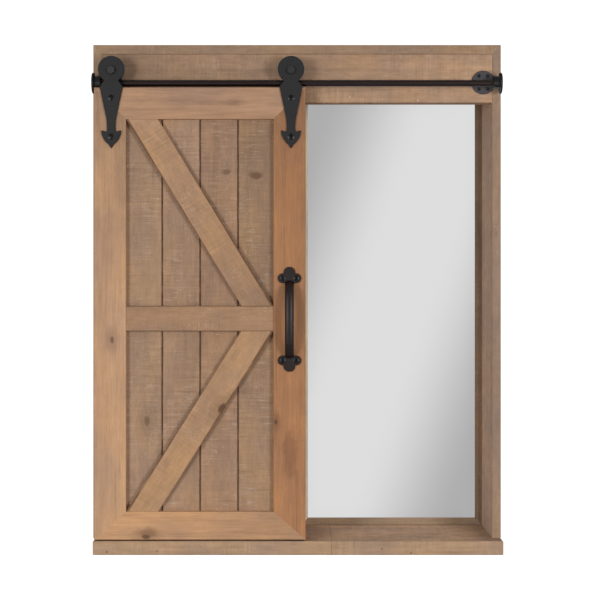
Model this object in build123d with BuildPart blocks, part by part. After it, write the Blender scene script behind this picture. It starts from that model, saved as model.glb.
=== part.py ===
"""Wall cabinet with a mirror bay and a sliding plank door hung from an iron rod, in millimetres.

X runs to the right, Y runs back towards the wall and Z runs up. The origin lies on the underside,
centred on the width and on the whole depth, pull handle included.
"""

from build123d import *
from math import cos, radians, sin, sqrt, tan
import os

os.makedirs("parts", exist_ok=True)

# Carcass
cabinet_width = 558.8
cabinet_height = 695.0
cabinet_depth = 120.0
side_thickness = 12.0
top_thickness = 12.5
ledge_thickness = 19.0
ledge_left_setback = 2.8
ledge_ease = 1.0
header_height = 67.0
header_thickness = 19.0
divider_thickness = 12.0
shelf_thickness = 10.0
shelf_setback = 4.0
lower_compartment_height = 196.0
middle_compartment_height = 186.0
dado_depth = 3.0
back_thickness = 3.0
back_lap = 6.0
edge_ease = 0.6

# Hanging rail and keyhole hangers
hanging_rail_height = 44.0
hanging_rail_thickness = 15.0
hanger_spacing = 406.4
hanger_width = 16.0
hanger_height = 34.0
hanger_thickness = 1.5
hanger_corner_radius = 4.0
hanger_entry_radius = 5.0
hanger_slot_radius = 2.2
hanger_slot_length = 10.0
hanger_pocket_depth = 8.0
hanger_pocket_slack = 1.2
hanger_screw_half_z = 13.2

# Mirror and its strips
mirror_thickness = 3.0
mirror_side_gap = 0.3
mirror_strip_width = 9.4
mirror_strip_depth = 6.5
mirror_strip_bevel = 4.2
mirror_strip_bevel_depth = 3.4

# Door frame
door_left_inset = 4.4
door_width = 286.6
door_thickness = 18.0
door_gap = 6.5
door_floor_gap = 2.0
stile_width = 43.5
top_rail_height = 43.0
bottom_rail_height = 38.0
middle_rail_height = 34.1
middle_rail_drop = 253.0
brace_width = 36.8
panel_recess = 8.0

# Door planks
plank_count = 4
plank_side_bite = 3.2
plank_gap = 0.4
plank_thickness = 7.0
plank_ease = 0.7
plank_bite = 3.5
panel_groove_slack = 0.5

# Rail rod, its flanges and end stops
rod_radius = 4.3
rod_standoff = 14.5
rod_above_header_edge = 24.7
rod_to_door_gap = 2.6
flange_inset = 24.4
flange_rise = 3.0
flange_radius = 16.2
flange_thickness = 2.0
flange_ease = 0.5
flange_post_radius = 2.1
flange_screw_half_x = 6.0
flange_screw_half_z = 9.0
stop_disc_radius = 14.2
stop_disc_thickness = 2.8
stop_collar_radius = 9.6
stop_collar_length = 8.6
stop_disc_inset = 1.2
stop_flat_gap = 0.4
stop_end_wall = 2.0
stop_rim_round = 0.7
set_screw_radius = 1.5
fit_clearance = 0.05

# Wheels and axles
wheel_rod_gap = 0.3
wheel_root_radius = 11.3
wheel_front_flange_radius = 16.0
wheel_rear_flange_radius = 13.2
wheel_width = 12.8
wheel_dish_radius = 9.5
wheel_dish_depth = 1.2
wheel_hub_radius = 6.0
axle_radius = 3.0
axle_head_flats = 10.2
axle_head_height = 4.0
axle_head_ease = 0.5
axle_tip = 0.6
left_axle_turn = 90.0
right_axle_turn = 72.0
nut_thickness = 3.2
spacer_radius = 5.5
running_gap = 0.25

# Hanger straps: half widths, and drops below the axle
left_strap_inset = 23.7
right_strap_inset = 19.7
strap_thickness = 3.0
strap_ease = 0.6
strap_head_radius = 17.9
strap_head_rise = 1.5
strap_neck_half = 9.4
strap_shoulder_half = 15.7
strap_shoulder_drop = 22.0
strap_waist_half = 7.4
strap_waist_drop = 60.6
strap_stem_half = 6.0
strap_stem_drop = 83.6
barb_half = 13.4
barb_drop = 80.9
barb_bulge_half = 10.6
barb_bulge_drop = 92.0
tip_half = 4.0
tip_drop = 99.8
tip_end_drop = 105.4
strap_corner_round = 1.0
upper_strap_screw_drop = 37.3
lower_strap_screw_drop = 90.0

# Pull handle
pull_right_inset = 21.8
pull_centre_z = 319.3
pull_tip_radius = 7.8
pull_tip_half_z = 63.2
pull_side_radius = 6.7
pull_plate_thickness = 2.5
pull_plate_ease = 0.5
pull_screw_half_x = 9.1
pull_screw_half_z = 55.6
pull_grip_width = 12.0
pull_grip_thickness = 7.0
pull_reach = 24.0
pull_foot_half_z = 49.5
pull_foot_depth = 1.25
pull_crown_radius = 150.0
pull_crown_angle = 12.0

# Wood screws
screw_shank_radius = 1.6
screw_length = 14.0
screw_dome_shoulder = 0.6
screw_dome_fullness = 0.68
strap_screw_head_radius = 4.4
strap_screw_dome = 0.8
pull_screw_head_radius = 3.9
pull_screw_dome = 0.8
flange_screw_head_radius = 2.6
hanger_screw_head_radius = 2.8
hanger_screw_length = 10.0

# Door guide, let into the ledge under the door
guide_base_length = 24.0
guide_base_depth = 13.0
guide_base_thickness = 2.4
guide_blade_length = 8.0
guide_blade_thickness = 4.0
guide_blade_rise = 6.0
guide_side_gap = 0.5
guide_top_gap = 2.0
guide_screw_spacing = 16.4
guide_screw_head_radius = 2.4
guide_screw_length = 11.0

# Depths, from the front edges of the box
front_y = (door_gap + door_thickness + pull_reach - cabinet_depth) / 2
back_y = front_y + cabinet_depth
back_panel_y = back_y - back_thickness
mirror_y = back_panel_y - mirror_thickness
strip_y = mirror_y - mirror_strip_depth
hanging_rail_y = back_y - hanging_rail_thickness
header_back_y = front_y + header_thickness
shelf_front_y = front_y + shelf_setback
door_back_y = front_y - door_gap
door_front_y = door_back_y - door_thickness
door_middle_y = (door_front_y + door_back_y) / 2
strap_front_y = door_front_y - strap_thickness
plank_front_y = door_front_y + panel_recess
plank_back_y = plank_front_y + plank_thickness

# Widths of the box and its bays
half_width = cabinet_width / 2
inner_half = half_width - side_thickness
divider_left_x = -divider_thickness / 2
divider_right_x = divider_thickness / 2

# Heights in the box
inner_top_z = cabinet_height - top_thickness
header_bottom_z = inner_top_z - header_height
rail_bottom_z = inner_top_z - hanging_rail_height
lower_shelf_z = ledge_thickness + lower_compartment_height
upper_shelf_z = lower_shelf_z + shelf_thickness + middle_compartment_height
hanger_middle_z = (rail_bottom_z + back_lap + inner_top_z) / 2
hanger_entry_z = hanger_middle_z - hanger_slot_length / 2

# Rod and axle line
rod_y = front_y - rod_standoff
rod_z = header_bottom_z + rod_above_header_edge
flange_x = half_width - flange_inset
flange_z = rod_z + flange_rise
stop_outer_x = half_width - stop_disc_inset
stop_disc_x = stop_outer_x - stop_disc_thickness
stop_inner_x = stop_disc_x - stop_collar_length
rod_end_x = stop_outer_x - stop_end_wall - fit_clearance
groove_radius = rod_radius + wheel_rod_gap
axle_rise = wheel_root_radius + groove_radius
axle_z = rod_z + axle_rise
spacer_back_y = rod_y - wheel_width / 2 - running_gap
nut_back_y = rod_y + wheel_width / 2 + running_gap + nut_thickness

# Door outline, its panel opening and the planks that fill it
door_left_x = door_left_inset - half_width
door_right_x = door_left_x + door_width
door_bottom_z = ledge_thickness + door_floor_gap
door_top_z = rod_z - rod_radius - rod_to_door_gap
opening_left_x = door_left_x + stile_width
opening_right_x = door_right_x - stile_width
opening_bottom_z = door_bottom_z + bottom_rail_height
opening_top_z = door_top_z - top_rail_height
plank_pitch = (opening_right_x - opening_left_x + 2 * plank_side_bite) / plank_count
middle_rail_top_z = opening_top_z - middle_rail_drop
middle_rail_bottom_z = middle_rail_top_z - middle_rail_height
left_strap_x = door_left_x + left_strap_inset
right_strap_x = door_right_x - right_strap_inset
strap_xs = (left_strap_x, right_strap_x)
pull_x = door_right_x - pull_right_inset

# The door rolls until its right wheel stands as near the right stop as the left wheel stood to its own
door_travel = -left_strap_x - right_strap_x
guide_x = (door_left_x + door_right_x + door_travel) / 2
guide_slot_half = guide_blade_thickness / 2 + guide_side_gap
guide_slot_top_z = ledge_thickness + guide_blade_rise + guide_top_gap


def save(piece, name):
    """Label a finished piece and write it to its own file."""
    piece.part.label = name
    export_step(piece.part, f"parts/{name}.step")


def facing_front(y, x=0.0, z=0.0):
    """A plane at depth y looked at from the front: its X to the right, its Y up."""
    return Plane(origin=(x, y, z), x_dir=(1, 0, 0), z_dir=(0, -1, 0))


def across(x, y, z):
    """A plane square to the rod, at a point on its line."""
    return Plane(origin=(x, y, z), x_dir=(0, 1, 0), z_dir=(1, 0, 0))


def block(x_span, y_span, z_span, mode=Mode.ADD):
    """A box between two values on each axis, in the part being made."""
    spans = (x_span, y_span, z_span)
    with Locations(tuple(sum(span) / 2 for span in spans)):
        Box(*(abs(span[1] - span[0]) for span in spans), mode=mode)


def front_shape(points, y_span):
    """A straight-sided outline drawn from the front, carried from the first depth to the second."""
    with BuildSketch(facing_front(y_span[1])) as outline:
        with BuildLine():
            Polyline(*points, close=True)
        make_face()
    extrude(outline.sketch, amount=y_span[1] - y_span[0])


def bars_along_y(radius, y_span, places, mode=Mode.ADD):
    """Round bars or holes from one depth to another at (x, z) places."""
    with BuildSketch(facing_front(y_span[1])) as sections:
        with Locations(*places):
            Circle(radius)
    extrude(sections.sketch, amount=y_span[1] - y_span[0], mode=mode)


def screw_bodies(seats, drive, head_radius, length, dome=0.0, slack=0.0, mode=Mode.ADD):
    """Countersunk screws turned about the drive direction; slack swells them into their own holes."""
    shank = screw_shank_radius + slack
    shaft = [
        (shank, head_radius - screw_shank_radius + slack),
        (shank, length - screw_shank_radius + slack),
        (0, length + 2 * slack),
    ]
    for seat in seats:
        turning_plane = Plane(origin=seat, x_dir=(1, 0, 0), z_dir=Vector(1, 0, 0).cross(Vector(*drive)))
        with BuildSketch(turning_plane) as half_section:
            with BuildLine():
                if dome:
                    shoulder_point = (screw_dome_shoulder * head_radius, -screw_dome_fullness * dome)
                    ThreePointArc((0, -dome), shoulder_point, (head_radius, 0))
                    Polyline((head_radius, 0), *shaft, (0, -dome))
                else:
                    Polyline((0, -slack), (head_radius + 2 * slack, -slack), *shaft, close=True)
            make_face()
        revolve(half_section.sketch, axis=Axis(seat, drive), mode=mode)


def screw_holes(seats, drive, head_radius, length):
    """Clearance for the screws of the same seats, cut from the part being made."""
    screw_bodies(seats, drive, head_radius, length, slack=fit_clearance, mode=Mode.SUBTRACT)


def tangent_arc(start, end, direction):
    """An arc between two points of the plane being drawn on, leaving the first in a given direction."""
    chord, lean = Vector(*end) - Vector(*start), Vector(*direction).normalized()
    bulge_side = (lean - chord.normalized() * lean.dot(chord.normalized())).normalized()
    bulge = chord.length / 2 * tan(radians(chord.get_angle(lean)) / 2)
    middle = Vector(*start) + chord / 2 + bulge_side * bulge
    ThreePointArc(start, (middle.X, middle.Y), end)


def brace_cut(width, height):
    """Length of the level cut across a brace that fills an opening from corner to corner."""
    reach = height * sqrt(width**2 + height**2 - brace_width**2)
    return brace_width * (reach - brace_width * width) / (height**2 - brace_width**2)


# Screw seats, each the centre of a head's rim, and the ways they are driven
into_wood, into_rail, into_ledge = (0, 1, 0), (0, -1, 0), (0, 0, -1)
flange_seats = [
    (
        side * flange_x + sx * flange_screw_half_x,
        front_y - flange_thickness,
        flange_z + sz * flange_screw_half_z,
    )
    for side in (-1, 1)
    for sx in (-1, 1)
    for sz in (-1, 1)
]
strap_seats = [
    (x, strap_front_y, axle_z - drop)
    for x in strap_xs
    for drop in (upper_strap_screw_drop, lower_strap_screw_drop)
]
pull_seats = [
    (
        pull_x + sx * pull_screw_half_x,
        door_front_y - pull_plate_thickness,
        pull_centre_z + sz * pull_screw_half_z,
    )
    for sx in (-1, 1)
    for sz in (-1, 1)
]
hanger_seats = [
    (side * hanger_spacing / 2, back_y, hanger_middle_z + sz * hanger_screw_half_z)
    for side in (-1, 1)
    for sz in (-1, 1)
]
guide_seats = [(guide_x + sx * guide_screw_spacing / 2, door_middle_y, ledge_thickness) for sx in (-1, 1)]

# Side panels stand on the ledge and are mitred to the top; the left one is grooved for the shelves
for side, name in ((-1, "left_side_panel"), (1, "right_side_panel")):
    with BuildPart() as side_panel:
        front_shape(
            [
                (side * half_width, ledge_thickness),
                (side * inner_half, ledge_thickness),
                (side * inner_half, inner_top_z),
                (side * half_width, cabinet_height),
            ],
            (front_y, back_y),
        )
        chamfer(side_panel.edges().filter_by(Axis.Z), edge_ease)
        block(
            (side * inner_half, side * (inner_half + back_lap)),
            (back_panel_y, back_y),
            (ledge_thickness, rail_bottom_z),
            Mode.SUBTRACT,
        )
        if side < 0:
            for shelf_z in (lower_shelf_z, upper_shelf_z):
                block(
                    (-inner_half - dado_depth, -inner_half),
                    (shelf_front_y, back_panel_y),
                    (shelf_z, shelf_z + shelf_thickness),
                    Mode.SUBTRACT,
                )
    save(side_panel, name)

# Top panel, mitred at both ends
with BuildPart() as top_panel:
    front_shape(
        [
            (-half_width, cabinet_height),
            (half_width, cabinet_height),
            (inner_half, inner_top_z),
            (-inner_half, inner_top_z),
        ],
        (front_y, back_y),
    )
    chamfer(top_panel.edges().filter_by(Axis.X), edge_ease)
save(top_panel, "top_panel")

# Ledge board under the whole box, out as far as the door's face, cut for the back, divider and guide
with BuildPart() as bottom_ledge:
    block((ledge_left_setback - half_width, half_width), (door_front_y, back_y), (0, ledge_thickness))
    chamfer(bottom_ledge.edges(), ledge_ease)
    block(
        (-inner_half - back_lap, inner_half + back_lap),
        (back_panel_y, back_y),
        (ledge_thickness - back_lap, ledge_thickness),
        Mode.SUBTRACT,
    )
    block(
        (divider_left_x, divider_right_x),
        (front_y, back_panel_y),
        (ledge_thickness - dado_depth, ledge_thickness),
        Mode.SUBTRACT,
    )
    block(
        (guide_x - guide_base_length / 2, guide_x + guide_base_length / 2),
        (door_middle_y - guide_base_depth / 2, door_middle_y + guide_base_depth / 2),
        (ledge_thickness - guide_base_thickness, ledge_thickness),
        Mode.SUBTRACT,
    )
    screw_holes(guide_seats, into_ledge, guide_screw_head_radius, guide_screw_length)
save(bottom_ledge, "bottom_ledge")

# Header board between the sides, flush with their front edges, bored for the flange screws
with BuildPart() as header_board:
    block((-inner_half, inner_half), (front_y, header_back_y), (header_bottom_z, inner_top_z))
    chamfer(header_board.edges().filter_by(Axis.X), edge_ease)
    screw_holes(flange_seats, into_wood, flange_screw_head_radius, screw_length)
save(header_board, "header_board")

# Divider between the bays, notched round the header and the hanging rail, grooved for the shelves
with BuildPart() as centre_divider:
    divider_span = (divider_left_x, divider_right_x)
    block(divider_span, (front_y, back_panel_y), (ledge_thickness - dado_depth, inner_top_z))
    block(divider_span, (front_y, header_back_y), (header_bottom_z, inner_top_z), Mode.SUBTRACT)
    block(divider_span, (hanging_rail_y, back_panel_y), (rail_bottom_z, inner_top_z), Mode.SUBTRACT)
    for shelf_z in (lower_shelf_z, upper_shelf_z):
        block(
            (divider_left_x, divider_left_x + dado_depth),
            (shelf_front_y, back_panel_y),
            (shelf_z, shelf_z + shelf_thickness),
            Mode.SUBTRACT,
        )
save(centre_divider, "centre_divider")

# Two shelves behind the door, held in their grooves
for shelf_z, name in ((lower_shelf_z, "lower_shelf"), (upper_shelf_z, "upper_shelf")):
    with BuildPart() as shelf:
        block(
            (-inner_half - dado_depth, divider_left_x + dado_depth),
            (shelf_front_y, back_panel_y),
            (shelf_z, shelf_z + shelf_thickness),
        )
        chamfer(shelf.faces().sort_by(Axis.Y)[0].edges().filter_by(Axis.X), edge_ease)
    save(shelf, name)

# Hanging rail across the back, pocketed behind each keyhole and lapped over the back panel
with BuildPart() as hanging_rail:
    block((-inner_half, inner_half), (hanging_rail_y, back_y), (rail_bottom_z, inner_top_z))
    block(
        (-inner_half, inner_half),
        (back_panel_y, back_y),
        (rail_bottom_z, rail_bottom_z + back_lap),
        Mode.SUBTRACT,
    )
    for side in (-1, 1):
        hanger_x = side * hanger_spacing / 2
        with BuildSketch(facing_front(back_y)):
            with Locations((hanger_x, hanger_middle_z)):
                RectangleRounded(hanger_width, hanger_height, hanger_corner_radius)
        extrude(amount=hanger_thickness, mode=Mode.SUBTRACT)
        with BuildSketch(facing_front(back_y - hanger_thickness)):
            with Locations((hanger_x, hanger_middle_z)):
                SlotCenterToCenter(hanger_slot_length, 2 * hanger_entry_radius + hanger_pocket_slack, 90)
        extrude(amount=hanger_pocket_depth, mode=Mode.SUBTRACT)
    screw_holes(hanger_seats, into_rail, hanger_screw_head_radius, hanger_screw_length)
save(hanging_rail, "hanging_rail")

# Back panel in the laps of the sides, the ledge and the hanging rail
with BuildPart() as back_panel:
    block(
        (-inner_half - back_lap, inner_half + back_lap),
        (back_panel_y, back_y),
        (ledge_thickness - back_lap, rail_bottom_z),
    )
    block((-inner_half, inner_half), (back_panel_y, back_y), (rail_bottom_z, rail_bottom_z + back_lap))
save(back_panel, "back_panel")

# Keyhole hangers let in flush: a round entry below, a narrow slot above for the wall screw's neck
for side, name in ((-1, "left_keyhole_hanger"), (1, "right_keyhole_hanger")):
    hanger_x = side * hanger_spacing / 2
    with BuildPart() as keyhole_hanger:
        with BuildSketch(facing_front(back_y)):
            with Locations((hanger_x, hanger_middle_z)):
                RectangleRounded(hanger_width, hanger_height, hanger_corner_radius)
                SlotCenterToCenter(hanger_slot_length, 2 * hanger_slot_radius, 90, mode=Mode.SUBTRACT)
            with Locations((hanger_x, hanger_entry_z)):
                Circle(hanger_entry_radius, mode=Mode.SUBTRACT)
        extrude(amount=hanger_thickness)
        screw_holes(hanger_seats, into_rail, hanger_screw_head_radius, hanger_screw_length)
    save(keyhole_hanger, name)

with BuildPart() as keyhole_hanger_screws:
    screw_bodies(hanger_seats, into_rail, hanger_screw_head_radius, hanger_screw_length)
save(keyhole_hanger_screws, "keyhole_hanger_screws")

# Mirror glass against the back panel
with BuildPart() as mirror_glass:
    block(
        (divider_right_x + mirror_side_gap, inner_half - mirror_side_gap),
        (mirror_y, back_panel_y),
        (ledge_thickness + mirror_side_gap, rail_bottom_z - mirror_side_gap),
    )
save(mirror_glass, "mirror_glass")

# Mitred strips that hold the glass, bevelled down towards it
strip_corners = [
    (divider_right_x, ledge_thickness),
    (inner_half, ledge_thickness),
    (inner_half, rail_bottom_z),
    (divider_right_x, rail_bottom_z),
]
inward = [(1, 1), (-1, 1), (-1, -1), (1, -1)]
glass_centre = ((divider_right_x + inner_half) / 2, strip_y, (ledge_thickness + rail_bottom_z) / 2)
for i, name in enumerate(("bottom", "right", "top", "left")):
    corners = (strip_corners[i], strip_corners[(i + 1) % 4])
    turns = (inward[i], inward[(i + 1) % 4])
    inner_corners = [
        (corner[0] + turn[0] * mirror_strip_width, corner[1] + turn[1] * mirror_strip_width)
        for corner, turn in zip(corners, turns)
    ]
    with BuildPart() as mirror_strip:
        front_shape([corners[0], corners[1], inner_corners[1], inner_corners[0]], (strip_y, mirror_y))
        strip_face = mirror_strip.faces().sort_by(Axis.Y)[0]
        glass_edge = strip_face.edges().sort_by_distance(glass_centre)[0]
        chamfer(glass_edge, mirror_strip_bevel, mirror_strip_bevel_depth, reference=strip_face)
    save(mirror_strip, f"mirror_strip_{name}")

# Rail rod
with BuildPart() as rail_rod:
    with BuildSketch(across(-rod_end_x, rod_y, rod_z)):
        Circle(rod_radius)
    extrude(amount=2 * rod_end_x)
save(rail_rod, "rail_rod")

# Round flanges on the header, each with a short post that cradles the rod
for side, name in ((-1, "left_rail_flange"), (1, "right_rail_flange")):
    with BuildPart() as rail_flange:
        bars_along_y(flange_radius, (front_y - flange_thickness, front_y), [(side * flange_x, flange_z)])
        chamfer(rail_flange.faces().sort_by(Axis.Y)[0].edges(), flange_ease)
        bars_along_y(flange_post_radius, (rod_y, front_y - flange_thickness / 2), [(side * flange_x, rod_z)])
        with BuildSketch(across(side * flange_x, rod_y, rod_z)):
            Circle(rod_radius + fit_clearance)
        extrude(amount=flange_radius, both=True, mode=Mode.SUBTRACT)
        screw_holes(flange_seats, into_wood, flange_screw_head_radius, screw_length)
    save(rail_flange, name)

with BuildPart() as flange_screws:
    screw_bodies(flange_seats, into_wood, flange_screw_head_radius, screw_length)
save(flange_screws, "flange_screws")

# End stops: disc and collar turned as one and bored for the rod, the collar cut flat below to clear the
# door's top edge and tapped there for a set screw
set_screw_x = (stop_inner_x + stop_disc_x) / 2
for side, name in ((-1, "left_end_stop"), (1, "right_end_stop")):
    with BuildPart() as end_stop:
        with BuildSketch(Plane(origin=(0, rod_y, rod_z), x_dir=(side, 0, 0), z_dir=(0, -side, 0))):
            with BuildLine():
                Polyline(
                    (stop_inner_x, rod_radius + fit_clearance),
                    (stop_inner_x, stop_collar_radius),
                    (stop_disc_x, stop_collar_radius),
                    (stop_disc_x, stop_disc_radius),
                    (stop_outer_x, stop_disc_radius),
                    (stop_outer_x, 0),
                    (rod_end_x + fit_clearance, 0),
                    (rod_end_x + fit_clearance, rod_radius + fit_clearance),
                    close=True,
                )
            make_face()
        revolve(axis=Axis((0, rod_y, rod_z), (1, 0, 0)))
        rims = end_stop.edges().filter_by(GeomType.CIRCLE).sort_by(SortBy.RADIUS)[-2:]
        fillet(rims, stop_rim_round)
        block(
            (side * (stop_inner_x - fit_clearance), side * stop_disc_x),
            (rod_y - stop_collar_radius, rod_y + stop_collar_radius),
            (rod_z - stop_disc_radius, door_top_z + stop_flat_gap),
            Mode.SUBTRACT,
        )
        with BuildSketch(Plane(origin=(side * set_screw_x, rod_y, rod_z), x_dir=(1, 0, 0), z_dir=(0, 0, -1))):
            Circle(set_screw_radius + fit_clearance)
        extrude(amount=stop_disc_radius, mode=Mode.SUBTRACT)
    save(end_stop, name)

with BuildPart() as end_stop_set_screws:
    for side in (-1, 1):
        tip = (side * set_screw_x, rod_y, rod_z - rod_radius - fit_clearance)
        with BuildSketch(Plane(origin=tip, x_dir=(1, 0, 0), z_dir=(0, 0, -1))):
            Circle(set_screw_radius)
        extrude(amount=rod_to_door_gap - stop_flat_gap - fit_clearance)
save(end_stop_set_screws, "end_stop_set_screws")

# Door guide: a base flush in the ledge with a blade that runs in the groove under the door
with BuildPart() as door_guide:
    block(
        (guide_x - guide_base_length / 2, guide_x + guide_base_length / 2),
        (door_middle_y - guide_base_depth / 2, door_middle_y + guide_base_depth / 2),
        (ledge_thickness - guide_base_thickness, ledge_thickness),
    )
    block(
        (guide_x - guide_blade_length / 2, guide_x + guide_blade_length / 2),
        (door_middle_y - guide_blade_thickness / 2, door_middle_y + guide_blade_thickness / 2),
        (ledge_thickness - guide_base_thickness / 2, ledge_thickness + guide_blade_rise),
    )
    screw_holes(guide_seats, into_ledge, guide_screw_head_radius, guide_screw_length)
save(door_guide, "door_guide")

with BuildPart() as door_guide_screws:
    screw_bodies(guide_seats, into_ledge, guide_screw_head_radius, guide_screw_length)
save(door_guide_screws, "door_guide_screws")

# Door frame members, mitred corner to corner, grooved inside for the planks and below for the guide
door_corners = {
    "left_stile": [
        (door_left_x, door_bottom_z),
        (door_left_x, door_top_z),
        (opening_left_x, opening_top_z),
        (opening_left_x, opening_bottom_z),
    ],
    "right_stile": [
        (door_right_x, door_bottom_z),
        (opening_right_x, opening_bottom_z),
        (opening_right_x, opening_top_z),
        (door_right_x, door_top_z),
    ],
    "top_rail": [
        (door_left_x, door_top_z),
        (door_right_x, door_top_z),
        (opening_right_x, opening_top_z),
        (opening_left_x, opening_top_z),
    ],
    "bottom_rail": [
        (door_left_x, door_bottom_z),
        (opening_left_x, opening_bottom_z),
        (opening_right_x, opening_bottom_z),
        (door_right_x, door_bottom_z),
    ],
}
groove_depth = plank_bite + panel_groove_slack
for name, corners in door_corners.items():
    long_way = Axis.Z if "stile" in name else Axis.X
    with BuildPart() as frame_member:
        front_shape(corners, (door_front_y, door_back_y))
        chamfer(frame_member.edges().filter_by(long_way), edge_ease)
        block(
            (opening_left_x - groove_depth, opening_right_x + groove_depth),
            (plank_front_y, plank_back_y),
            (opening_bottom_z - groove_depth, opening_top_z + groove_depth),
            Mode.SUBTRACT,
        )
        block(
            (door_left_x, door_right_x),
            (door_middle_y - guide_slot_half, door_middle_y + guide_slot_half),
            (door_bottom_z, guide_slot_top_z),
            Mode.SUBTRACT,
        )
        screw_holes(strap_seats, into_wood, strap_screw_head_radius, screw_length)
        screw_holes(pull_seats, into_wood, pull_screw_head_radius, screw_length)
    save(frame_member, name)

# Planks side by side, centred in the opening, with eased edges that make the grooves
plank_centre_x = (opening_left_x + opening_right_x) / 2
for i in range(plank_count):
    plank_x = plank_centre_x + (i - (plank_count - 1) / 2) * plank_pitch
    with BuildPart() as plank:
        block(
            (plank_x - (plank_pitch - plank_gap) / 2, plank_x + (plank_pitch - plank_gap) / 2),
            (plank_front_y, plank_back_y),
            (opening_bottom_z - plank_bite, opening_top_z + plank_bite),
        )
        chamfer(plank.faces().sort_by(Axis.Y)[0].edges().filter_by(Axis.Z), plank_ease)
    save(plank, f"plank_{i + 1}")

# Middle rail on the planks, flush with the frame
with BuildPart() as middle_rail:
    block(
        (opening_left_x, opening_right_x),
        (door_front_y, plank_front_y),
        (middle_rail_bottom_z, middle_rail_top_z),
    )
    chamfer(middle_rail.faces().sort_by(Axis.Y)[0].edges(), edge_ease)
save(middle_rail, "middle_rail")

# Braces on the planks: the upper one falls to the right, the lower one rises to the right
opening_width = opening_right_x - opening_left_x
upper_cut = brace_cut(opening_width, opening_top_z - middle_rail_top_z)
lower_cut = brace_cut(opening_width, middle_rail_bottom_z - opening_bottom_z)
brace_corners = {
    "upper_brace": [
        (opening_left_x, opening_top_z),
        (opening_left_x + upper_cut, opening_top_z),
        (opening_right_x, middle_rail_top_z),
        (opening_right_x - upper_cut, middle_rail_top_z),
    ],
    "lower_brace": [
        (opening_left_x, opening_bottom_z),
        (opening_left_x + lower_cut, opening_bottom_z),
        (opening_right_x, middle_rail_bottom_z),
        (opening_right_x - lower_cut, middle_rail_bottom_z),
    ],
}
for name, corners in brace_corners.items():
    with BuildPart() as brace:
        front_shape(corners, (door_front_y, plank_front_y))
        chamfer(brace.faces().sort_by(Axis.Y)[0].edges(), edge_ease)
    save(brace, name)

# Hanger straps: round head over the wheel, pinched neck, tapering leg and a barbed arrowhead
head_centre_z = axle_z + strap_head_rise
neck_z = head_centre_z - sqrt(strap_head_radius**2 - strap_neck_half**2)
for strap_x, name in ((left_strap_x, "left_hanger_strap"), (right_strap_x, "right_hanger_strap")):
    shoulder = (strap_x + strap_shoulder_half, axle_z - strap_shoulder_drop)
    waist = (strap_x + strap_waist_half, axle_z - strap_waist_drop)
    stem = (strap_x + strap_stem_half, axle_z - strap_stem_drop)
    barb = (strap_x + barb_half, axle_z - barb_drop)
    bulge = (strap_x + barb_bulge_half, axle_z - barb_bulge_drop)
    tip_side = (strap_x + tip_half, axle_z - tip_drop)
    tip_end = (strap_x, axle_z - tip_end_drop)
    with BuildPart() as hanger_strap:
        with BuildSketch(facing_front(door_front_y)) as strap_outline:
            with BuildLine():
                ThreePointArc(
                    (strap_x, head_centre_z + strap_head_radius),
                    (strap_x + strap_head_radius, head_centre_z),
                    (strap_x + strap_neck_half, neck_z),
                )
                Line((strap_x + strap_neck_half, neck_z), shoulder)
                Line(shoulder, waist)
                tangent_arc(waist, stem, (waist[0] - shoulder[0], waist[1] - shoulder[1]))
                Line(stem, barb)
                ThreePointArc(barb, bulge, tip_side)
                Line(tip_side, tip_end)
                mirror(about=Plane(origin=(strap_x, 0, 0), x_dir=(0, 1, 0), z_dir=(1, 0, 0)))
            make_face()
            corner_xs = (strap_neck_half, strap_shoulder_half, strap_stem_half, barb_half)
            corners = [
                v
                for v in strap_outline.vertices()
                if any(abs(abs(v.X - strap_x) - half) < 1e-4 for half in corner_xs)
            ]
            fillet(corners, strap_corner_round)
        extrude(amount=strap_thickness)
        chamfer(hanger_strap.faces().sort_by(Axis.Y)[0].edges(), strap_ease)
        bars_along_y(
            axle_radius + fit_clearance,
            (strap_front_y, door_front_y),
            [(strap_x, axle_z)],
            Mode.SUBTRACT,
        )
        screw_holes(strap_seats, into_wood, strap_screw_head_radius, screw_length)
    save(hanger_strap, name)

with BuildPart() as strap_screws:
    screw_bodies(strap_seats, into_wood, strap_screw_head_radius, screw_length, strap_screw_dome)
save(strap_screws, "strap_screws")

# Axle bolts: a hex head on the strap and a shank through spacer, wheel and nut
for strap_x, turn, name in (
    (left_strap_x, left_axle_turn, "left_axle_bolt"),
    (right_strap_x, right_axle_turn, "right_axle_bolt"),
):
    with BuildPart() as axle_bolt:
        with BuildSketch(facing_front(strap_front_y, strap_x, axle_z)):
            RegularPolygon(axle_head_flats / 2, 6, major_radius=False, rotation=turn)
        extrude(amount=axle_head_height)
        chamfer(axle_bolt.faces().sort_by(Axis.Y)[0].edges(), axle_head_ease)
        bars_along_y(axle_radius, (strap_front_y, nut_back_y + axle_tip), [(strap_x, axle_z)])
    save(axle_bolt, name)

with BuildPart() as axle_nuts:
    for strap_x in strap_xs:
        with BuildSketch(facing_front(nut_back_y, strap_x, axle_z)):
            RegularPolygon(axle_head_flats / 2, 6, major_radius=False)
            Circle(axle_radius + fit_clearance, mode=Mode.SUBTRACT)
        extrude(amount=nut_thickness)
save(axle_nuts, "axle_nuts")

with BuildPart() as wheel_spacers:
    for strap_x in strap_xs:
        with BuildSketch(facing_front(spacer_back_y, strap_x, axle_z)):
            Circle(spacer_radius)
            Circle(axle_radius + fit_clearance, mode=Mode.SUBTRACT)
        extrude(amount=spacer_back_y - door_front_y)
save(wheel_spacers, "wheel_spacers")

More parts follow.
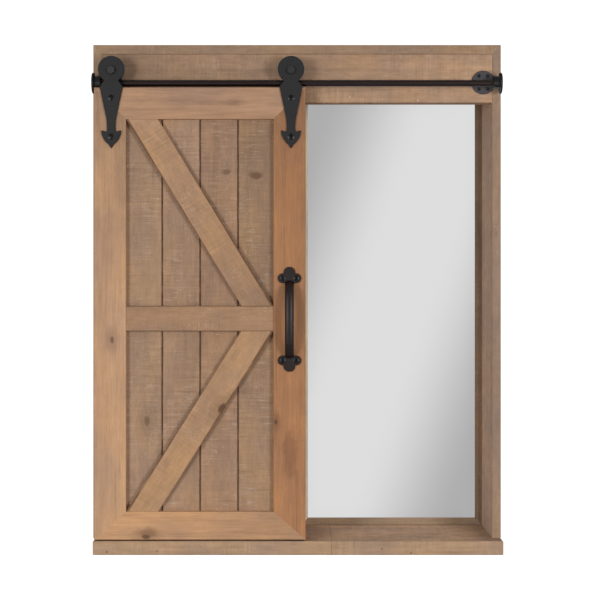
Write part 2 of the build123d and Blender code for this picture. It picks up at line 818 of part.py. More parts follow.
# Grooved wheels: the groove follows the rod, and the rear flange stays low to clear the flange posts
wheel_half = wheel_width / 2
wheel_bore = axle_radius + fit_clearance
rear_groove_y = sqrt(groove_radius**2 - (axle_rise - wheel_rear_flange_radius) ** 2)
for strap_x, name in ((left_strap_x, "left_wheel"), (right_strap_x, "right_wheel")):
    with BuildPart() as wheel:
        with BuildSketch(across(strap_x, rod_y, axle_z)):
            with BuildLine():
                Polyline(
                    (-wheel_half, wheel_bore),
                    (-wheel_half, wheel_front_flange_radius),
                    (-groove_radius, wheel_front_flange_radius),
                    (-groove_radius, axle_rise),
                )
                ThreePointArc(
                    (-groove_radius, axle_rise),
                    (0, wheel_root_radius),
                    (rear_groove_y, wheel_rear_flange_radius),
                )
                Polyline(
                    (rear_groove_y, wheel_rear_flange_radius),
                    (wheel_half, wheel_rear_flange_radius),
                    (wheel_half, wheel_dish_radius),
                    (wheel_half - wheel_dish_depth, wheel_dish_radius),
                    (wheel_half - wheel_dish_depth, wheel_hub_radius),
                    (wheel_half, wheel_hub_radius),
                    (wheel_half, wheel_bore),
                    (-wheel_half, wheel_bore),
                )
            make_face()
        revolve(axis=Axis((strap_x, rod_y, axle_z), (0, 1, 0)))
    save(wheel, name)

# Pull handle: trefoil feet and a bowed grip whose line is a crown arc between two tangent arcs
crown_depth = pull_reach - pull_grip_thickness / 2
crown_end_z = pull_crown_radius * sin(radians(pull_crown_angle))
crown_end_depth = crown_depth - pull_crown_radius * (1 - cos(radians(pull_crown_angle)))
with BuildPart() as pull_handle:
    for end in (-1, 1):
        tip_centre = (pull_x, pull_centre_z + end * pull_tip_half_z)
        foot_z = pull_centre_z + end * pull_screw_half_z
        side_centres = [(pull_x + sx * pull_screw_half_x, foot_z) for sx in (-1, 1)]
        with BuildSketch(facing_front(door_front_y)):
            with Locations(tip_centre):
                Circle(pull_tip_radius)
            with Locations(*side_centres):
                Circle(pull_side_radius)
            with BuildLine():
                Polyline(tip_centre, side_centres[0], side_centres[1], close=True)
            make_face()
            with Locations((pull_x, (foot_z + pull_centre_z + end * pull_foot_half_z) / 2)):
                Rectangle(pull_grip_width, abs(pull_screw_half_z - pull_foot_half_z) + pull_grip_thickness)
        extrude(amount=pull_plate_thickness)
    chamfer(pull_handle.faces().sort_by(Axis.Y)[:2].edges(), pull_plate_ease)
    bow_plane = Plane(origin=(pull_x, door_front_y, pull_centre_z), x_dir=(0, -1, 0), z_dir=(-1, 0, 0))
    with BuildLine(bow_plane) as bow:
        ThreePointArc((crown_end_depth, -crown_end_z), (crown_depth, 0), (crown_end_depth, crown_end_z))
        for end in (-1, 1):
            tangent_arc(
                (crown_end_depth, end * crown_end_z),
                (pull_foot_depth, end * pull_foot_half_z),
                (-sin(radians(pull_crown_angle)), end * cos(radians(pull_crown_angle))),
            )
    with BuildSketch(Plane(origin=bow.wire() @ 0, x_dir=(1, 0, 0), z_dir=bow.wire() % 0)):
        Ellipse(pull_grip_width / 2, pull_grip_thickness / 2)
    sweep(path=bow.wire())
    screw_holes(pull_seats, into_wood, pull_screw_head_radius, screw_length)
save(pull_handle, "pull_handle")

with BuildPart() as pull_screws:
    screw_bodies(pull_seats, into_wood, pull_screw_head_radius, screw_length, pull_screw_dome)
save(pull_screws, "pull_screws")
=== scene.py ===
"""Finishes of the wall cabinet with the sliding plank door: wood, iron, mirror glass, screw heads and light.

Lengths are in metres: X runs to the right, Y back to the wall and Z up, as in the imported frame.
"""

import bpy
import numpy as np
from math import atan2, cos, hypot, pi, radians, sin
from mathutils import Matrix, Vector


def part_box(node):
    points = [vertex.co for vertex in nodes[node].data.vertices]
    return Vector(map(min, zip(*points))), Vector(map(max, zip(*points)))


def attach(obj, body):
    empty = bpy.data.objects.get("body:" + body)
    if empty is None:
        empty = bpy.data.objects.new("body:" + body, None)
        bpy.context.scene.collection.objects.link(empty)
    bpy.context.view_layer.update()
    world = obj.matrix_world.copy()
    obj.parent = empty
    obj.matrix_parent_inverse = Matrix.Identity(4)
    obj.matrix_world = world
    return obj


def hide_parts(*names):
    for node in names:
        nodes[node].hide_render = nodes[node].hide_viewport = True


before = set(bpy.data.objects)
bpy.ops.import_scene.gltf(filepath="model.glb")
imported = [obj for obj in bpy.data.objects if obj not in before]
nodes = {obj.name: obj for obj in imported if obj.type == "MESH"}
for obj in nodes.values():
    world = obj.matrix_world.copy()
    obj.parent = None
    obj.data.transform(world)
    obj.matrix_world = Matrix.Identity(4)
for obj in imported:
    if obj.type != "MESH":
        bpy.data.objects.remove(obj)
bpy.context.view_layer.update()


def tone(red, green, blue):
    """Scene-linear colour of a paint chip given as 0 to 255 display values."""
    chip = np.array((red, green, blue)) / 255
    linear = np.where(chip <= 0.04045, chip / 12.92, ((chip + 0.055) / 1.055) ** 2.4)
    return (*(float(part) for part in linear), 1.0)


def darker(colour, share):
    """A colour scaled by one number."""
    return (*(part * share for part in colour[:3]), 1.0)


class Value:
    """A node socket: arithmetic on it adds Math nodes to its finish."""

    def __init__(self, finish, socket):
        self.finish = finish
        self.socket = socket

    def __add__(self, other):
        return self.finish.math("ADD", self, other)

    def __sub__(self, other):
        return self.finish.math("SUBTRACT", self, other)

    def __rsub__(self, other):
        return self.finish.math("SUBTRACT", other, self)

    def __mul__(self, other):
        return self.finish.math("MULTIPLY", self, other)

    __radd__ = __add__
    __rmul__ = __mul__


class Finish:
    """A material made of nodes around one Principled shader."""

    def __init__(self, name):
        self.material = bpy.data.materials.new(name)
        self.material.use_nodes = True
        self.tree = self.material.node_tree
        self.shader = self.tree.nodes["Principled BSDF"]
        self.point = Value(self, self.add("ShaderNodeTexCoord").outputs["Object"])

    def add(self, kind, settings=None, sockets=None):
        """A node of a type: its settings go in first, then the values or links of its sockets."""
        node = self.tree.nodes.new(kind)
        for key, setting in (settings or {}).items():
            setattr(node, key, setting)
        for key, value in (sockets or {}).items():
            self.feed(node.inputs[key], value)
        return node

    def feed(self, socket, value):
        """Links a value to a socket, or writes a plain number or colour there."""
        if isinstance(value, Value):
            self.tree.links.new(value.socket, socket)
        else:
            socket.default_value = value

    def surface(self, **sockets):
        """Sets sockets of the shader, named with underscores for spaces."""
        for key, value in sockets.items():
            self.feed(self.shader.inputs[key.replace("_", " ")], value)

    def math(self, operation, *terms):
        node = self.add("ShaderNodeMath", {"operation": operation}, dict(enumerate(terms)))
        return Value(self, node.outputs[0])

    def vector(self, operation, *terms, output=0):
        node = self.add("ShaderNodeVectorMath", {"operation": operation}, dict(enumerate(terms)))
        return Value(self, node.outputs[output])

    def laid(self, place, lie):
        """Object coordinates centred on a place and turned so that X runs with the grain.

        The lie is the grain's angle from level in radians, turned about the depth axis.
        """
        sockets = {"Vector": self.point, "Location": place, "Rotation": (0, -lie, 0)}
        node = self.add("ShaderNodeMapping", {"vector_type": "TEXTURE"}, sockets)
        return Value(self, node.outputs[0])

    def parts(self, point):
        """The three numbers of a point."""
        node = self.add("ShaderNodeSeparateXYZ", None, {0: point})
        return [Value(self, output) for output in node.outputs]

    def joined(self, x, y, z):
        """A point of three numbers."""
        return Value(self, self.add("ShaderNodeCombineXYZ", None, {0: x, 1: y, 2: z}).outputs[0])

    def noise(self, point, along, across, detail=2.0, roughness=0.5):
        """Smooth noise from 0 to 1, with so many waves to the metre with the grain and across it."""
        stretched = self.vector("MULTIPLY", point, (along, across, across))
        sockets = {"Vector": stretched, "Scale": 1.0, "Detail": detail, "Roughness": roughness}
        return Value(self, self.add("ShaderNodeTexNoise", None, sockets).outputs[0])

    def step(self, value, low, high):
        """A smooth step from 0 below the low value to 1 above the high one."""
        sockets = {"Value": value, "From Min": low, "From Max": high}
        node = self.add("ShaderNodeMapRange", {"interpolation_type": "SMOOTHSTEP"}, sockets)
        return Value(self, node.outputs[0])

    def mix(self, share, first, second):
        """The first colour, with a share of the second laid over it."""
        node = self.add("ShaderNodeMix", {"data_type": "RGBA"}, {0: share, 6: first, 7: second})
        return Value(self, node.outputs[2])

    def shade(self, colour, share):
        """A colour scaled by a number that varies over the surface."""
        colour = colour if isinstance(colour, Value) else colour[:3]
        node = self.add("ShaderNodeVectorMath", {"operation": "SCALE"}, {0: colour, "Scale": share})
        return Value(self, node.outputs[0])

    def relief(self, height, depth, strength=1.0):
        """Bumps the surface by a height from 0 to 1 that stands for a depth in metres."""
        sockets = {"Height": height, "Distance": depth, "Strength": strength}
        self.surface(Normal=Value(self, self.add("ShaderNodeBump", None, sockets).outputs[0]))


def wear(node, material):
    """Puts a material on every slot of a CAD node."""
    for slot in nodes[node].material_slots:
        slot.material = material


# How each sort of board was worked: contrast of its broad tone, grain and mottling, strength of saw
# marks, pale scratches and pale specks, growth lines to the metre and their strength, and how matt it is
look_names = ("broad", "grain", "mottle", "saw", "scratches", "specks", "lines", "line_strength", "matt")
rough_sawn = dict(zip(look_names, (0.13, 0.07, 0.5, 0.24, 0.2, 0.65, 40, 0.02, 0.8)))
brace_sawn = dict(zip(look_names, (0.12, 0.08, 0.5, 0.16, 0.1, 0.6, 40, 0.03, 0.8)))
weathered = dict(zip(look_names, (0.12, 0.1, 0.55, 0.15, 0.12, 0.55, 45, 0.04, 0.78)))
planed = dict(zip(look_names, (0.15, 0.15, 0.34, 0.02, 0.0, 0.18, 50, 0.05, 0.62)))
plain = dict(zip(look_names, (0.07, 0.08, 0.2, 0.0, 0.0, 0.0, 60, 0.08, 0.6)))

# How the grain lies, in degrees from level
lying, upright = 0.0, 90.0

brace_width = 0.0368


class Timber(Finish):
    """Wood for one board, laid along its grain and built up from growth to wear."""

    def __init__(self, node, look, mean, lie, seed):
        super().__init__(f"{node}_wood")
        self.look = look
        self.mean = np.array(mean)
        self.lie = lie
        self.seed = seed
        self.low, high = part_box(node)
        self.place = (self.low + high) / 2
        self.length, self.width = (high - self.low).x, (high - self.low).z
        if lie == upright:
            self.length, self.width = self.width, self.length
        elif lie:
            self.length, self.width = hypot(self.length, self.width), brace_width
        self.board_point = self.laid(self.place, radians(lie))
        self.along, self.deep, self.across = self.parts(self.board_point)
        # Dark brown for real stains and dark joints, and for painted shade
        self.stain_and_shade_brown = tone(*(self.mean * (0.52, 0.4, 0.3)))
        self.pale = tone(*(self.mean * 0.4 + 135))

    def on_board(self, x, z):
        """A place of the frame as distances along and across the board."""
        dx, dz = x - self.place.x, z - self.place.z
        turn = radians(self.lie)
        return dx * cos(turn) + dz * sin(turn), dz * cos(turn) - dx * sin(turn)

    def away_from(self, x, z, half_along, half_across):
        """How far a point of the board is from a place, where 1 is on an oval of these half sizes."""
        mark_along, mark_across = self.on_board(x, z)
        away = self.vector("SUBTRACT", self.board_point, (mark_along, 0.0, mark_across))
        flat = self.vector("MULTIPLY", away, (1 / half_along, 0.0, 1 / half_across))
        return self.vector("LENGTH", flat, output=1)

    def bend_round(self, knots):
        """The distance across the board with its grain bent round the knots, and how dark each point is."""
        bent, dark = self.across, 0.0
        for x, z, size, strength in knots:
            _, knot_across = self.on_board(x, z)
            ragged = self.noise(self.board_point, 90.0, 90.0) * 0.6 + 0.7
            ring = self.away_from(x, z, size / 0.55, size) * ragged
            pull = self.math("EXPONENT", ring * ring * -0.25)
            bent = bent - pull * (self.across - knot_across) * 0.75
            core = 1 - self.step(ring, 0.35, 1.15)
            halo = (1 - self.step(ring, 0.9, 3.2)) * 0.35
            dark = self.math("MAXIMUM", core, halo) * strength + dark
        return bent, dark

    def grow(self, bent):
        """Colour, brightness and relief of the wood itself, from broad clouds down to single fibres."""
        look, shift = self.look, (self.seed * 3.7, self.seed * 1.3, self.seed * 2.1)
        self.grain_point = self.vector("ADD", self.joined(self.along, self.deep, bent), shift)
        self.broad = self.noise(self.grain_point, 3.0, 16.0, 2.0)
        self.mottle = self.noise(self.grain_point, 60.0, 170.0, 3.0, 0.65)
        self.fibre = self.noise(self.grain_point, 16.0, 520.0, 3.0, 0.6)
        cloud = self.noise(self.grain_point, 12.0, 24.0, 3.0)
        fine = self.noise(self.grain_point, 45.0, 1600.0, 2.0, 0.6)
        streak = self.step(self.noise(self.grain_point, 4.0, 95.0, 3.0, 0.6), 0.56, 0.74)
        warp = self.noise(self.grain_point, 2.2, 9.0, 2.0)
        rings = self.math("SINE", (bent * look["lines"] + warp * 5.0) * (2 * pi)) * 0.5 + 0.5

        cool = tone(*(self.mean * (0.98, 0.985, 1.01)))
        warm = tone(*(self.mean * (1.02, 1.01, 0.97)))
        self.colour = self.mix(self.step(cloud, 0.3, 0.7), cool, warm)
        level = (self.broad - 0.5) * (4.0 * look["broad"]) + (cloud - 0.5) * (2.5 * look["broad"]) + 1.0
        grain = (self.fibre - 0.5) * (3.0 * look["grain"]) + (fine - 0.5) * (2.0 * look["grain"]) + 1.0
        level = level * grain * ((self.mottle - 0.5) * look["mottle"] + 1.0)
        self.level = level * (1 - streak * (1.6 * look["grain"])) * (1 - rings * look["line_strength"])
        self.height = self.fibre * 0.5 + fine * 0.2

    def drift(self, start, end):
        """Changes the brightness evenly from the start of the grain to its end."""
        self.level = self.level * (self.along * ((end - start) / self.length) + (start + end) / 2)

    def paint_light_behind(self, painted_light_behind):
        """Paints light onto what lies behind the front face, brightening the faces inside a bay, and mottles
        them.
        """
        front = (self.low - self.place).y
        self.behind = self.step(self.deep, front + 0.0008, front + 0.003)
        light_lift = self.behind * (painted_light_behind - 1.0) + 1.0
        self.level = self.level * light_lift * ((self.mottle - 0.5) * self.behind * 0.7 + 1.0)

    def saw(self):
        """Marks of the blade across the board, and returns the pale scratches between them."""
        shifted = self.vector("ADD", self.board_point, (self.seed, 0.0, self.seed))
        worn = self.step(self.noise(self.grain_point, 14.0, 26.0, 2.0), 0.36, 0.62)
        kerf = self.noise(shifted, 360.0, 18.0, 2.0, 0.7)
        blade = self.noise(self.board_point, 150.0, 12.0, 2.0) - 0.5
        marks = ((kerf - 0.5) * 3.0 + blade * 1.6) * (worn * 0.8 + 0.2)
        self.level = self.level * (marks * self.look["saw"] + 1.0)
        self.height = self.height + marks * 0.35
        return self.step(self.noise(shifted, 330.0, 62.0, 1.0), 0.6, 0.72) * worn

    def fleck(self):
        """Pale specks in patches."""
        patch = self.step(self.noise(self.grain_point, 24.0, 34.0, 2.0), 0.46, 0.64)
        dots = self.step(self.noise(self.grain_point, 480.0, 640.0, 1.0), 0.66, 0.76)
        self.colour = self.mix(dots * patch * self.look["specks"], self.colour, self.pale)

    def stain_and_shade_edges(self, strength):
        """Dark brown along the two long edges: a dark joint line, with painted shade where the board meets
        its neighbours.
        """
        from_middle = self.math("ABSOLUTE", self.across)
        rim = self.step(from_middle, self.width / 2 - 0.0018, self.width / 2 - 0.0004)
        ragged = self.step(self.noise(self.board_point, 40.0, 40.0, 3.0), 0.3, 0.55) * 0.5 + 0.5
        self.colour = self.mix(rim * ragged * strength, self.colour, self.stain_and_shade_brown)

    def blot(self, marks, paint):
        """Ragged oval marks of a paint."""
        for x, z, half_width, half_height, strength in marks:
            spans = (half_height, half_width) if self.lie == upright else (half_width, half_height)
            ragged = self.noise(self.board_point, 90.0, 90.0, 3.0) * 1.2 + 0.4
            covered = 1 - self.step(self.away_from(x, z, *spans) * ragged, 0.35, 1.1)
            self.colour = self.mix(covered * strength, self.colour, paint)

    def shade_bay(self, left, right, back):
        """Painted shade at the two ends and along the back of an open bay that the board floors."""
        half_bay = (right - left) / 2
        from_middle = self.math("ABSOLUTE", self.along + (self.place.x - (left + right) / 2))
        # Painted shade at the bay's two ends and in the corner at its back
        ends = self.step(from_middle + self.broad * 0.04, half_bay - 0.035, half_bay + 0.02) * 0.5
        wall = back - self.place.y
        corner = self.step(self.deep, wall - 0.007, wall - 0.001) * 0.9
        self.colour = self.mix(self.math("MAXIMUM", ends, corner) * self.behind, self.colour, self.stain_and_shade_brown)


def timber(
    node,
    look,
    mean,
    lie=lying,
    seed=0.0,
    drift=(1.0, 1.0),
    painted_light_behind=1.0,
    bay=None,
    knots=(),
    stains_and_shade=(),
    chips=(),
    edges=0.0,
):
    """Puts wood on a board.

    lie is how the grain lies, and seed a number of the board's own that moves its pattern elsewhere. mean
    is the board's mean colour, drift its brightness at the start and the end of the grain,
    painted_light_behind the painted light that brightens what lies behind its front face, and edges the
    share of dark brown on its long edges, a dark joint line with painted shade. bay is (left x, right x,
    back y) of an open bay that the board floors, with painted shade at its ends and its back. A knot is (x,
    z, size, strength), and a dark stain, a dark mark of painted shade or a pale chip is (x, z, half width,
    half height, strength), all in the frame.
    """
    board = Timber(node, look, mean, lie, seed)
    bent, dark_knots = board.bend_round(knots)
    board.grow(bent)
    if painted_light_behind != 1.0:
        board.paint_light_behind(painted_light_behind)
    if drift != (1.0, 1.0):
        board.drift(*drift)
    scratches = board.saw() if look["saw"] else None
    board.colour = board.shade(board.colour, board.level)
    if scratches:
        board.colour = board.mix(scratches * look["scratches"], board.colour, board.pale)
    if look["specks"]:
        board.fleck()
    if edges:
        board.stain_and_shade_edges(edges)
    board.blot(stains_and_shade, board.stain_and_shade_brown)
    board.blot(chips, board.pale)
    if bay:
        board.shade_bay(*bay)
    if knots:
        heart = darker(tone(*(board.mean * (0.95, 0.9, 0.86))), 0.3)
        board.colour = board.mix(dark_knots, board.colour, heart)
    board.surface(Base_Color=board.colour, Roughness=look["matt"] - (board.fibre - 0.5) * 0.2)
    board.surface(Specular_IOR_Level=0.35)
    board.relief(board.height, 0.0004, 0.6)
    wear(node, board.material)


# The carcass, greyed and lightly sawn
header_chips = [(0.0724, 0.6236, 0.0012, 0.0024, 0.7), (0.1658, 0.6186, 0.0014, 0.0022, 0.7)]
ledge_marks = [
    (-0.2575, 0.0045, 0.0013, 0.0013, 0.9),
    (-0.1895, 0.0058, 0.0013, 0.0013, 0.8),
    (0.115, 0.0085, 0.0022, 0.0012, 0.7),
    (0.1542, 0.0031, 0.0016, 0.0012, 0.7),
    (0.0468, 0.008, 0.0007, 0.03, 0.6),
]
side_marks = [(0.273, 0.436, 0.0012, 0.002, 0.5), (0.273, 0.449, 0.001, 0.0014, 0.5)]
# The header darkens towards its left end: partly its own tone, partly painted light falling off to the left
timber(
    "header_board",
    weathered,
    (166, 133, 106),
    lying,
    1.0,
    drift=(0.65, 1.18),
    chips=header_chips,
    edges=0.35,
)
timber("top_panel", weathered, (154, 125, 99), lying, 2.0)
bay = (0.004, 0.2687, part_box("mirror_strip_bottom")[0].y)
# Painted light brightens the faces inside the bay, on the ledge and on the right side
timber("bottom_ledge", weathered, (174, 142, 114), lying, 3.0, painted_light_behind=1.36, bay=bay, stains_and_shade=ledge_marks)
timber("left_side_panel", weathered, (156, 128, 105), upright, 4.0)
timber("right_side_panel", weathered, (151, 124, 103), upright, 5.0, painted_light_behind=1.26, stains_and_shade=side_marks)

# Inner boards that the door hides
timber("centre_divider", plain, (170, 141, 112), upright, 6.0)
timber("lower_shelf", plain, (172, 143, 113), lying, 7.0)
timber("upper_shelf", plain, (171, 142, 112), lying, 8.0)
timber("hanging_rail", plain, (168, 139, 110), lying, 9.0)
timber("back_panel", plain, (178, 150, 118), upright, 10.0)

# Strips round the glass, one wood in four tones of painted light: the bottom lighter as if lit from above,
# the right and top darker with painted shade, and the left cream with a painted highlight on its lit edge
timber("mirror_strip_bottom", weathered, (155, 130, 106), lying, 11.0)
timber("mirror_strip_right", weathered, (127, 101, 80), upright, 12.0)
timber("mirror_strip_top", weathered, (120, 96, 76), lying, 13.0)
timber("mirror_strip_left", planed, (214, 200, 176), upright, 14.0)

# Door frame, planed and warmer
left_knot = (-0.2504, 0.2913, 0.004, 0.85)
right_knot = (-0.0287, 0.1804, 0.003, 0.95)
rail_knot = (-0.2044, 0.0248, 0.0045, 1.0)
rail_swirl = (-0.0839, 0.6134, 0.003, 0.3)
rail_blotch = (-0.2, 0.0302, 0.0165, 0.0085, 0.35)
red_patch = (-0.0095, 0.1357, 0.012, 0.04, 0.34)
timber("left_stile", planed, (182, 142, 109), upright, 15.0, drift=(1.12, 0.79), knots=[left_knot])
timber(
    "right_stile",
    planed,
    (165, 115, 76),
    upright,
    16.0,
    drift=(1.22, 0.73),
    knots=[right_knot],
    stains_and_shade=[red_patch],
)
timber("top_rail", planed, (167, 129, 101), lying, 17.0, knots=[rail_swirl])
timber("bottom_rail", planed, (187, 143, 105), lying, 18.0, knots=[rail_knot], stains_and_shade=[rail_blotch])

# Middle rail and braces, rough from the saw
brace_knot = (-0.1015, 0.1993, 0.006, 1.0)
# Painted shade in the gaps at the braces' right ends
upper_gap_shade = (-0.0333, 0.345, 0.0016, 0.005, 0.9)
lower_gap_shade = (-0.0333, 0.2954, 0.0016, 0.005, 0.9)
timber("middle_rail", brace_sawn, (156, 122, 95), lying, 19.0, edges=0.5)


def brace_lie(name, rise):
    """The angle of a brace from level, from its box and its width across."""
    low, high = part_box(name)
    wide, tall = (high - low).x, (high - low).z
    return rise * np.degrees(atan2(tall, wide - brace_width * hypot(wide, tall) / tall))


timber(
    "upper_brace",
    brace_sawn,
    (169, 132, 101),
    brace_lie("upper_brace", -1),
    20.0,
    drift=(1.18, 0.75),
    stains_and_shade=[upper_gap_shade],
    edges=0.8,
)
timber(
    "lower_brace",
    brace_sawn,
    (176, 137, 102),
    brace_lie("lower_brace", 1),
    21.0,
    knots=[brace_knot],
    stains_and_shade=[lower_gap_shade],
    edges=0.8,
)

# Planks, each its own tone, darker where they meet
plank_means = [(165, 133, 106), (163, 130, 103), (160, 126, 100), (157, 125, 98)]
plank_marks = [
    dict(knots=[(-0.2039, 0.181, 0.0055, 0.7)], drift=(1.05, 0.89)),
    dict(),
    dict(stains_and_shade=[(-0.0965, 0.5194, 0.008, 0.005, 0.5)], drift=(1.05, 0.88)),
    dict(stains_and_shade=[(-0.0554, 0.5145, 0.0115, 0.006, 0.65)], drift=(1.06, 0.84)),
]
for i, (mean, marks) in enumerate(zip(plank_means, plank_marks)):
    timber(f"plank_{i + 1}", rough_sawn, mean, upright, 22.0 + i, edges=0.85, **marks)


def black_metal(name, nodes_worn, colour, matt, gloss=0.5, sheen=(1.0, 1.0, 1.0)):
    """Black finish on iron: mottled colour, and a fine pebble in the colour and the relief."""
    finish = Finish(name)
    pebble = finish.noise(finish.point, 900.0, 900.0, 3.0, 0.6)
    mottle = finish.noise(finish.point, 60.0, 60.0, 3.0)
    level = (mottle - 0.5) * 0.5 + (pebble - 0.5) * 0.6 + 1.0
    finish.surface(Base_Color=finish.shade(colour, level), Roughness=(mottle - 0.5) * 0.2 + matt)
    finish.surface(Specular_IOR_Level=gloss, Specular_Tint=(*sheen, 1.0))
    finish.relief(pebble, 0.00004, 0.5)
    for node in nodes_worn:
        wear(node, finish.material)
    return finish.material


warm_sheen = (1.0, 0.72, 0.68)
faint_warm_sheen = (1.0, 0.83, 0.81)
black_metal("black_iron_coat", ["left_hanger_strap", "right_hanger_strap"], tone(23, 23, 25), 0.6, 0.32)
black_metal("flange_coat", ["left_rail_flange", "right_rail_flange"], tone(48, 43, 47), 0.5)
black_metal("pull_handle_coat", ["pull_handle"], tone(22, 16, 16), 0.42, 0.34, faint_warm_sheen)
black_metal("rod_coat", ["rail_rod"], tone(12, 8, 7), 0.32, 0.42, warm_sheen)
black_metal("end_stop_coat", ["left_end_stop", "right_end_stop"], tone(8, 7, 8), 0.42, 0.3)
black_metal("wheel_coat", ["left_wheel", "right_wheel", "wheel_spacers", "axle_nuts"], tone(20, 18, 18), 0.4)
black_metal("bolt_black", ["left_axle_bolt", "right_axle_bolt"], tone(34, 33, 35), 0.42, 0.4)
fastener_black = black_metal("fastener_black", ["end_stop_set_screws"], tone(9, 8, 8), 0.36, 0.28)


def screw_surface(head_radius, dome, cross, length):
    """Points and faces of one countersunk screw, driven towards +Y from the middle of its head's rim.

    The screw is a profile turned about its axis. With t from 0 at the middle of the head to 1 at its rim,
    the face stands at depth = -dome (1 - t^2) + cross g(s, w), where s and w are the larger and the smaller
    of a point's distances from the middle lines of the two bars of the cross, and g falls from 1 to 0 past
    the bars' ends and sides. Behind the rim the profile runs down a 45 degree cone and along the shank to a
    blunt tip.
    """
    shank, tip_share = 0.0016, 0.6
    face_rings, around = 22, 64
    bar_reach, bar_half_width, slope = 0.62 * head_radius, 0.00085, 0.0004
    face_radii = np.linspace(0.06, 1.0, face_rings) * head_radius
    radii = np.concatenate((face_radii, (shank, shank, shank * tip_share)))
    depth_behind = np.array((head_radius - shank, length - shank * (1 - tip_share), length))
    turn = np.linspace(0, 2 * pi, around, endpoint=False)
    x = radii[:, None] * np.cos(turn)
    z = radii[:, None] * np.sin(turn)
    run = np.maximum(abs(x), abs(z))
    off = np.minimum(abs(x), abs(z))
    bar = np.clip((bar_reach - run) / slope, 0, 1) * np.clip((bar_half_width - off) / slope, 0, 1)
    y = -dome * (1 - (radii[:, None] / head_radius) ** 2) + cross * bar
    y[face_rings:] = depth_behind[:, None]
    rings = np.stack((x, y, z), axis=-1).reshape(-1, 3)
    poles = np.array(((0, cross - dome, 0), (0, length, 0)))

    ring, step = np.meshgrid(np.arange(len(radii) - 1), np.arange(around), indexing="ij")
    after = (step + 1) % around
    outer = ring + 1
    walls = (ring * around + step, outer * around + step, outer * around + after, ring * around + after)
    first = np.arange(around)
    second = (first + 1) % around
    last_ring, pole = len(rings) - around, len(rings)
    front = (first, second, np.full(around, pole))
    tip = (last_ring + second, last_ring + first, np.full(around, pole + 1))
    sides = np.stack(walls, axis=-1).reshape(-1, 4)
    return np.vstack((rings, poles)), (sides, np.stack(front, axis=-1), np.stack(tip, axis=-1))


def screw_heads(name, node, body, columns, head_radius, dome, cross):
    """All the screws of one CAD node as one piece, with a cross recess in each head.

    The node's box gives two rows of seats, and columns gives the seats' X from the first and the last.
    """
    low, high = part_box(node)
    screw, patches = screw_surface(head_radius, dome, cross, high.y - low.y - dome)
    seats = [
        (seat_x, low.y + dome, seat_z)
        for seat_x in columns(low.x + head_radius, high.x - head_radius)
        for seat_z in (low.z + head_radius, high.z - head_radius)
    ]
    points = np.vstack([screw + seat for seat in seats])
    faces = []
    for i in range(len(seats)):
        for patch in patches:
            faces += (patch + i * len(screw)).tolist()
    mesh = bpy.data.meshes.new(name)
    mesh.from_pydata(points, [], faces)
    mesh.shade_smooth()
    mesh.set_sharp_from_angle(angle=radians(35))
    mesh.materials.append(fastener_black)
    piece = bpy.data.objects.new(name, mesh)
    bpy.context.scene.collection.objects.link(piece)
    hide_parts(node)
    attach(piece, body)
    return piece


def both_ends(first, last):
    """Columns at the two edges of the box."""
    return (first, last)


def flange_columns(first, last):
    """Two columns of screws to each flange."""
    apart = 0.012
    return (first, first + apart, last - apart, last)


screw_heads("strap_screw_heads", "strap_screws", "door", both_ends, 0.0044, 0.0008, 0.0014)
screw_heads("pull_screw_heads", "pull_screws", "door", both_ends, 0.0039, 0.0008, 0.0014)
flange_heads = screw_heads("flange_screw_heads", "flange_screws", "cabinet", flange_columns, 0.0026, 0, 9e-4)


def silvered_glass():
    """Mirror glass: a clean silvered face, faintly darker towards its border where the silver ages."""
    finish = Finish("silvered_glass")
    low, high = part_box("mirror_glass")
    across, _, up = finish.parts(finish.laid((low + high) / 2, 0.0))
    side = finish.math("ABSOLUTE", across) - (high.x - low.x) / 2
    end = finish.math("ABSOLUTE", up) - (high.z - low.z) / 2
    border = finish.step(finish.math("MAXIMUM", side, end), -0.03, 0.0)
    haze = finish.noise(finish.point, 14.0, 14.0, 3.0)
    silver = finish.mix(border * haze * 0.2, tone(245, 244, 244), tone(206, 208, 206))
    finish.surface(Base_Color=silver, Metallic=1.0, Roughness=haze * 0.01 + 0.012)
    wear("mirror_glass", finish.material)


def zinc():
    """Zinc plate with its frosted patches, on the keyhole hangers and their screws."""
    finish = Finish("zinc_plate")
    sockets = {"Vector": finish.point, "Scale": 260.0}
    patches = Value(finish, finish.add("ShaderNodeTexVoronoi", None, sockets).outputs["Color"])
    frost, _, _ = finish.parts(patches)
    colour = finish.mix(frost, tone(176, 178, 180), tone(206, 208, 208))
    finish.surface(Base_Color=colour, Metallic=0.9, Roughness=frost * 0.15 + 0.3)
    for node in ("left_keyhole_hanger", "right_keyhole_hanger", "keyhole_hanger_screws"):
        wear(node, finish.material)


def guide_plastic():
    """Dark moulded plastic with a fine matt grain."""
    finish = Finish("guide_plastic")
    grain = finish.noise(finish.point, 1500.0, 1500.0)
    colour = finish.mix(grain, tone(44, 38, 34), tone(56, 49, 44))
    finish.surface(Base_Color=colour, Roughness=0.55)
    finish.relief(grain, 0.00002)
    wear("door_guide", finish.material)
    wear("door_guide_screws", fastener_black)


silvered_glass()
zinc()
guide_plastic()


def flat_sheet(name, centre, half_a, half_b):
    """A rectangle that is part of the studio, from its centre and two half sides."""
    centre, half_a, half_b = (np.array(v, float) for v in (centre, half_a, half_b))
    corners = [centre + a * half_a + b * half_b for a, b in ((-1, -1), (1, -1), (1, 1), (-1, 1))]
    mesh = bpy.data.meshes.new(name)
    mesh.from_pydata([tuple(corner) for corner in corners], [], [(0, 1, 2, 3)])
    sheet = bpy.data.objects.new(name, mesh)
    bpy.context.scene.collection.objects.link(sheet)
    return sheet


# Brightness of the surroundings: as light on the object, seen behind it, and in its gloss
ambient, backdrop_level, gloss_level = 0.31, 1.1, 0.45
key_level = 0.34


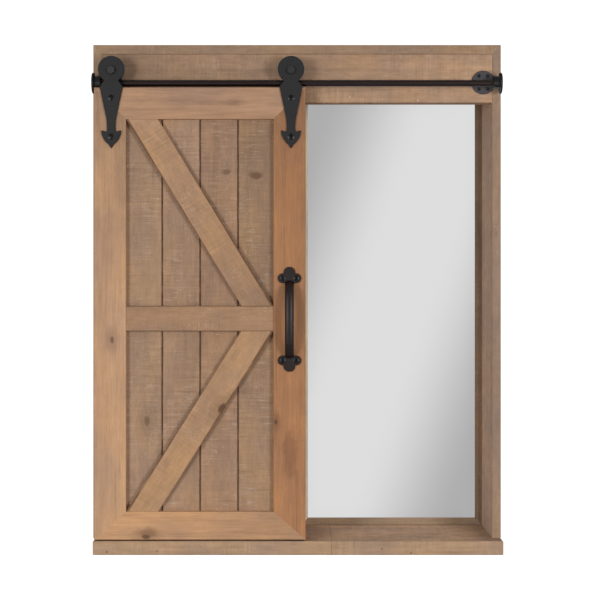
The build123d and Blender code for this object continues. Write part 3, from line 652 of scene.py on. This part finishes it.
def surroundings():
    """White all round, with its own brightness for the camera and for glossy reflections."""
    world = bpy.data.worlds.new("white_surroundings")
    bpy.context.scene.world = world
    world.use_nodes = True
    nodes_of_world, links = world.node_tree.nodes, world.node_tree.links
    sky = nodes_of_world["Background"]
    sky.inputs["Color"].default_value = (1.0, 1.0, 1.0, 1.0)
    rays = nodes_of_world.new("ShaderNodeLightPath")
    seen = nodes_of_world.new("ShaderNodeMath")
    seen.operation = "MULTIPLY_ADD"
    links.new(rays.outputs["Is Camera Ray"], seen.inputs[0])
    seen.inputs[1].default_value = backdrop_level - ambient
    seen.inputs[2].default_value = ambient
    in_gloss = nodes_of_world.new("ShaderNodeMath")
    in_gloss.operation = "MULTIPLY_ADD"
    links.new(rays.outputs["Is Glossy Ray"], in_gloss.inputs[0])
    in_gloss.inputs[1].default_value = gloss_level - ambient
    links.new(seen.outputs[0], in_gloss.inputs[2])
    links.new(in_gloss.outputs[0], sky.inputs["Strength"])


def pale_floor():
    """A plain floor that glows a little, so that it is as pale as the surroundings."""
    floor = flat_sheet("pale_floor", (0, 0, 0), (9.0, 0, 0), (0, 9.0, 0))
    floor.visible_diffuse = floor.visible_glossy = False
    finish = Finish("pale_floor_paint")
    cloud = finish.noise(finish.point, 2.0, 2.0)
    finish.surface(Base_Color=finish.mix(cloud, (0.84, 0.84, 0.84, 1), (0.86, 0.86, 0.86, 1)), Roughness=0.9)
    finish.surface(Emission_Color=(1.0, 1.0, 1.0, 1.0), Emission_Strength=0.8)
    floor.data.materials.append(finish.material)


def reflected_card():
    """A grey card in front of the object, with a slanting pale band, that only reflections show."""
    card = flat_sheet("reflected_card", (0.3, -2.3, 0.36), (7.0, 0, 0), (0, 0, 4.0))
    card.visible_camera = card.visible_diffuse = card.visible_shadow = card.visible_transmission = False
    finish = Finish("reflected_card_paint")
    x, _, z = finish.parts(finish.point)
    band_x, band_z = 0.288, 0.295
    across_band = (0.937, -0.348)
    off_band = (x - band_x) * across_band[0] + (z - band_z) * across_band[1]
    edge = finish.step(finish.math("ABSOLUTE", off_band), 0.095, 0.426)
    gradient = finish.mix(edge, tone(221, 222, 222), tone(174, 174, 175))
    finish.surface(Base_Color=(0, 0, 0, 1), Emission_Color=gradient, Emission_Strength=1.1)
    finish.surface(Roughness=1.0, Specular_IOR_Level=0.0)
    card.data.materials.append(finish.material)


def soft_lights():
    """Two equal soft lights in front, one to each side, turned to the middle of the object."""
    azimuth, distance, light_height, middle_height = radians(34), 2.3, 0.42, 0.36
    for side in (-1, 1):
        lamp = bpy.data.lights.new(f"soft_light_{side}", "AREA")
        lamp.shape = "RECTANGLE"
        lamp.size, lamp.size_y = 0.6, 0.8
        lamp.energy = key_level * pi**2 * distance**2 / cos(azimuth)
        light = bpy.data.objects.new(lamp.name, lamp)
        bpy.context.scene.collection.objects.link(light)
        light.location = (side * sin(azimuth) * distance, -cos(azimuth) * distance, light_height)
        aim = Vector((0, 0, middle_height)) - light.location
        light.rotation_euler = aim.to_track_quat("-Z", "Y").to_euler()


surroundings()
pale_floor()
reflected_card()
soft_lights()

# The glass shows the plain card, not what stands close round it
near_glass = (
    "header",
    "right_side",
    "mirror_strip",
    "rail_rod",
    "right_rail",
    "right_end",
    "end_stop",
    "bottom_ledge",
)
for node in nodes:
    if node.startswith(near_glass):
        nodes[node].visible_glossy = False
flange_heads.visible_glossy = False


def camera():
    """The camera, level and square to the front, with its shift for the framing."""
    lens = bpy.data.cameras.new("front_camera")
    lens.sensor_width = 36.0
    lens.lens = 83.15
    lens.shift_y = -0.0167
    seer = bpy.data.objects.new("front_camera", lens)
    bpy.context.scene.collection.objects.link(seer)
    seer.location = (0.00404, -1.93575, 0.359)
    seer.rotation_euler = (radians(90), 0, 0)
    bpy.context.scene.camera = seer


camera()
bpy.context.scene.view_settings.view_transform = "Standard"
bpy.context.scene.view_settings.look = "None"
